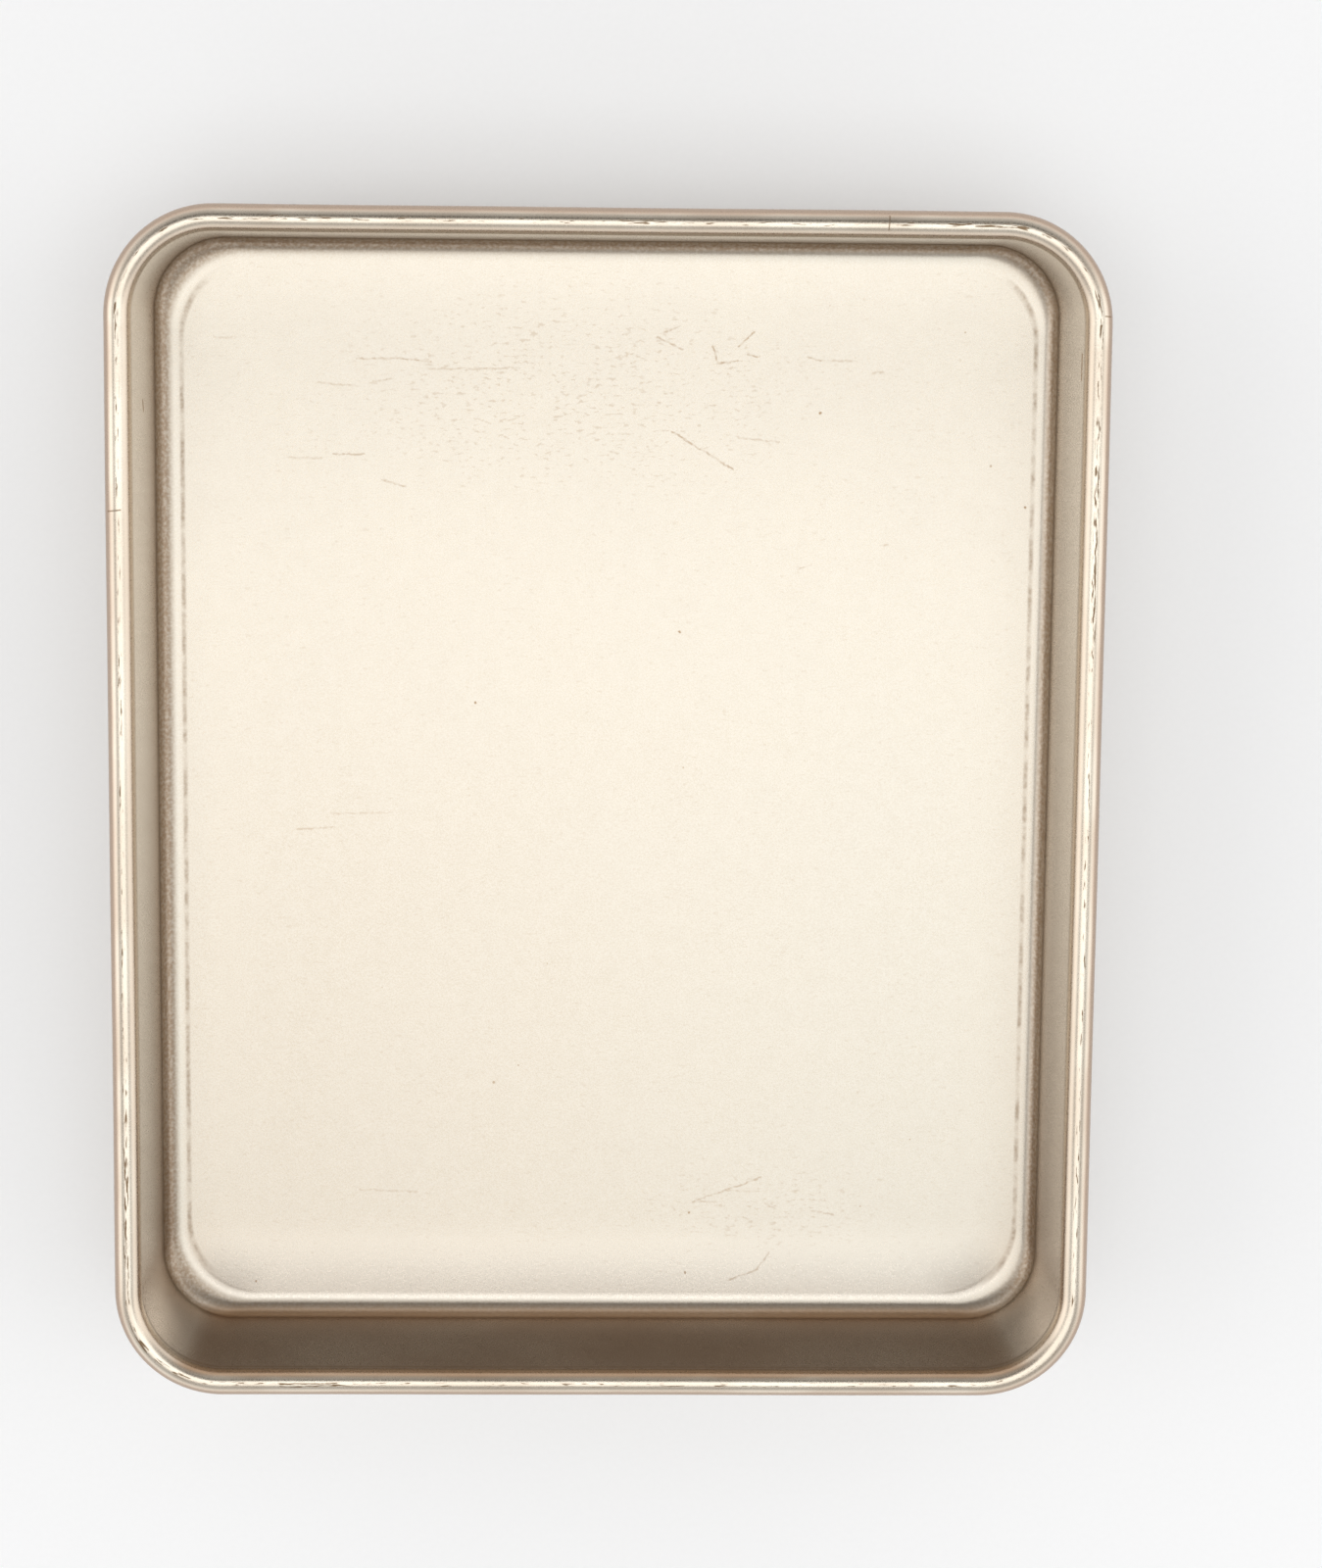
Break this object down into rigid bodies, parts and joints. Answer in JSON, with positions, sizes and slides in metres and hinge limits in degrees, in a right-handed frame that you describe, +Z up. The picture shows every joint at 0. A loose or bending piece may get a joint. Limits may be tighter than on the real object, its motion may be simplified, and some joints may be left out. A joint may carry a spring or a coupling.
{
  "type": "baking pan",
  "caption": "Rectangular drawn-metal baking pan with a smooth flat floor, rounded corners, near-upright walls and an edge rolled over a stiffening wire, in a satin champagne coating.",
  "frame": {"origin": "middle of the floor's underside, on the surface that the pan stands on", "axes": "+X across the width, +Y along the length, +Z up out of the pan's mouth"},
  "size_m": [0.241, 0.292, 0.051],
  "materials": {
    "coated_sheet": "satin metallic non-stick coating, champagne gold, with fine grain and worn rim",
    "wire_steel": "bare drawn wire, dull"
  },
  "bodies": {
    "root": {"pan_body": "coated_sheet", "rim_wire": "wire_steel"}
  },
  "joints": []
}
